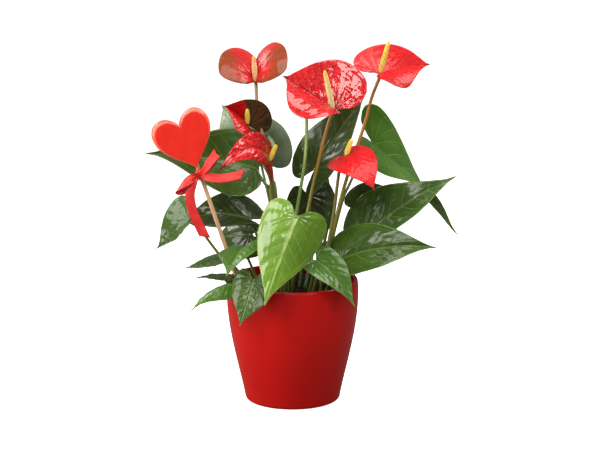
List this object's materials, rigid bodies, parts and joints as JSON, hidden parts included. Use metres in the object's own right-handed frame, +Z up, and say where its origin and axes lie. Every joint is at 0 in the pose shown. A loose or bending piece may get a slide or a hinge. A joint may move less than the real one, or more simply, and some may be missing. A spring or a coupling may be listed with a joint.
{
  "type": "potted flowering anthurium",
  "caption": "Potted anthurium: red spathes with yellow spadices and glossy heart-shaped leaves in a red glazed cover pot, with a red wooden heart pick and a ribbon bow.",
  "frame": {"origin": "middle of the cover pot's flat bottom, on the surface that it stands on", "axes": "+Z up, along the pot's axis; -Y towards the front, the side that the largest flower and leaf face; +X to the right as seen from the front"},
  "size_m": [0.3354, 0.2418, 0.3822],
  "materials": {
    "glazed_pot": "deep red glossy ceramic glaze",
    "nursery_plastic": "thin black plastic",
    "potting_soil": "dark moist peat-based soil, rough",
    "leaf_green": "waxy green leaf with pale veins, satin gloss",
    "spathe_red": "lacquered red spathe, high gloss, with raised veins",
    "spadix_yellow": "yellow, finely beaded",
    "stalk_green": "smooth green to brown stalk",
    "heart_paint": "red paint on wood, satin",
    "stick_wood": "bare pale wood",
    "satin_ribbon": "red satin ribbon"
  },
  "bodies": {
    "root": {"cover_pot": "glazed_pot", "nursery_pot": "nursery_plastic", "potting_soil": "potting_soil", "pick_stick": "stick_wood", "pick_heart": "heart_paint", "ribbon_bow": "satin_ribbon", "leaf_front_large": "leaf_green", "leaf_front_right": "leaf_green", "leaf_right_low": "leaf_green", "leaf_right_high": "leaf_green", "leaf_right_tall": "leaf_green", "leaf_right_back": "leaf_green", "leaf_back_hanging": "leaf_green", "leaf_back_upright": "leaf_green", "leaf_left_long": "leaf_green", "leaf_left_pale": "leaf_green", "leaf_left_outer": "leaf_green", "leaf_left_middle": "leaf_green", "leaf_left_back": "leaf_green", "leaf_front_left_small": "leaf_green", "leaf_left_low_back": "leaf_green", "leaf_left_rim": "leaf_green", "leaf_left_low_front": "leaf_green", "leaf_front_left_rim": "leaf_green", "leaf_back_low": "leaf_green", "leaf_back_right_low": "leaf_green", "leaf_back_high": "leaf_green", "leaf_back_left_high": "leaf_green", "flower_top_left_spathe": "spathe_red", "flower_top_left_spadix": "spadix_yellow", "flower_top_left_stalk": "stalk_green", "flower_rolled_spathe": "spathe_red", "flower_rolled_spadix": "spadix_yellow", "flower_rolled_stalk": "stalk_green", "flower_arched_left_spathe": "spathe_red", "flower_arched_left_spadix": "spadix_yellow", "flower_arched_left_stalk": "stalk_green", "flower_front_large_spathe": "spathe_red", "flower_front_large_spadix": "spadix_yellow", "flower_front_large_stalk": "stalk_green", "flower_top_right_spathe": "spathe_red", "flower_top_right_spadix": "spadix_yellow", "flower_top_right_stalk": "stalk_green", "flower_low_front_spathe": "spathe_red", "flower_low_front_spadix": "spadix_yellow", "flower_low_front_stalk": "stalk_green", "flower_bud_spathe": "spathe_red", "flower_bud_spadix": "spadix_yellow", "flower_bud_stalk": "stalk_green"}
  },
  "joints": []
}
